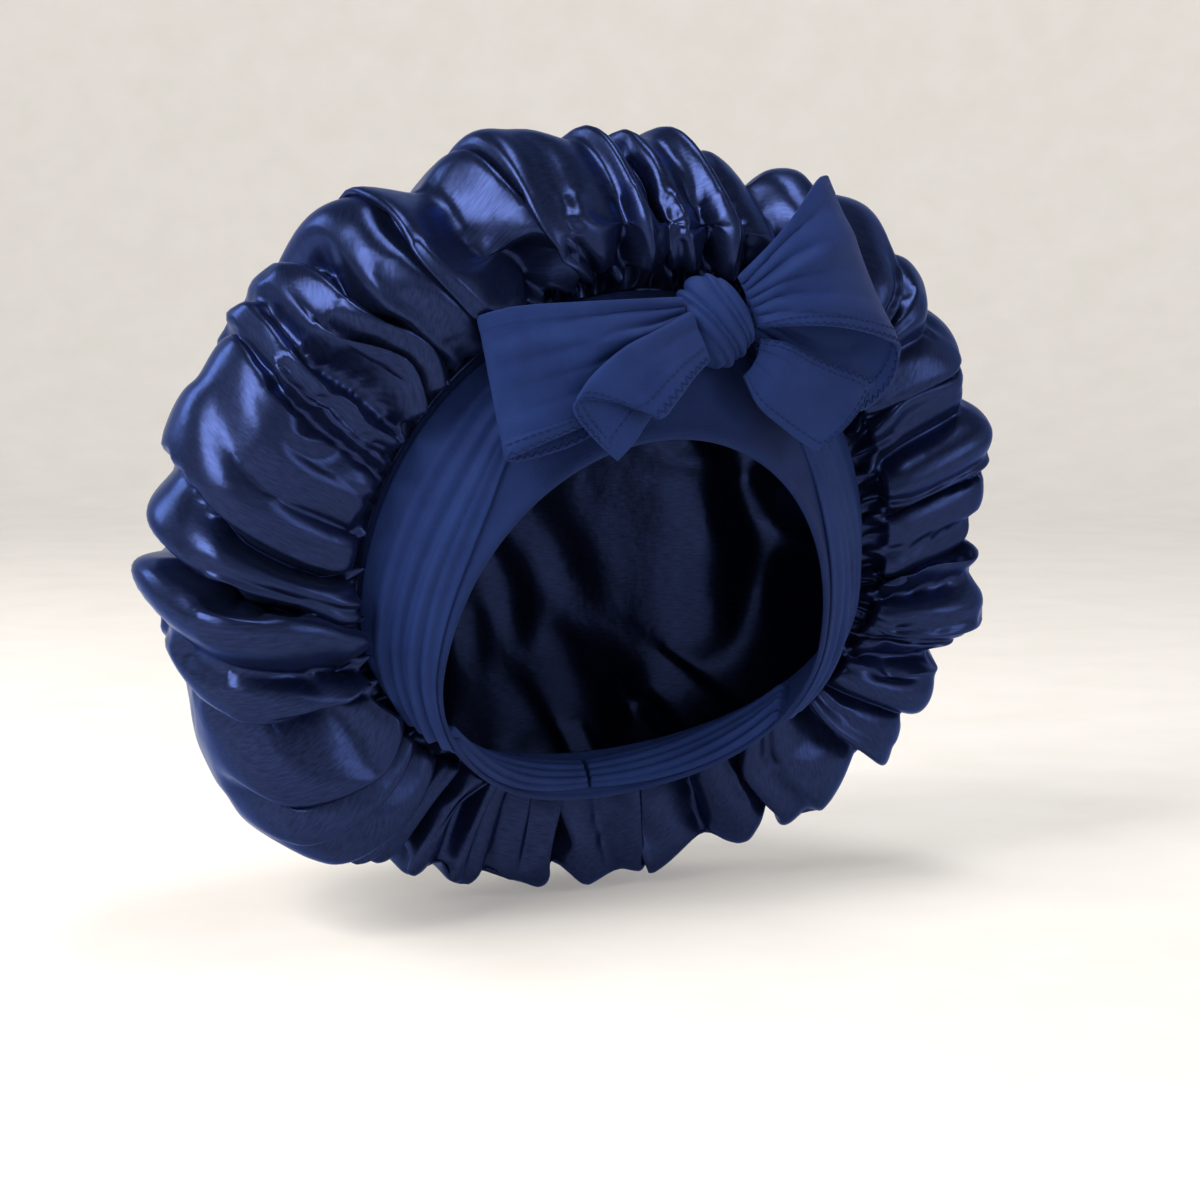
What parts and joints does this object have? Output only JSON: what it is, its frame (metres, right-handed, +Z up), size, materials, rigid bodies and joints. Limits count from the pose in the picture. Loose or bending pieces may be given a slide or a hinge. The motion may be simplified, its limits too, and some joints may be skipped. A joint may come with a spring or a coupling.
{
  "type": "sleep bonnet",
  "caption": "Large gathered satin sleep bonnet on a wide cotton band, with tie straps knotted in a bow above the forehead.",
  "frame": {"origin": "centre of the head opening, where the bonnet sits on the head", "axes": "+Z up as worn, the face opening looks toward -Y, +X toward the wearer's left"},
  "size_m": [0.374, 0.2153, 0.3094],
  "materials": {
    "satin": "navy polyester satin, soft gloss along the folds",
    "band_cotton": "navy brushed cotton jersey, matt",
    "tie_cotton": "navy woven cotton with stitched hems, matt"
  },
  "bodies": {
    "root": {"crown_front": "satin", "crown_rim": "satin", "crown_back": "satin", "edge_band": "band_cotton", "tie_strap_left": "tie_cotton", "tie_strap_right": "tie_cotton", "bow_knot": "tie_cotton", "bow_loop_left": "tie_cotton", "bow_loop_right": "tie_cotton", "bow_tail_left": "tie_cotton", "bow_tail_right": "tie_cotton"}
  },
  "joints": []
}
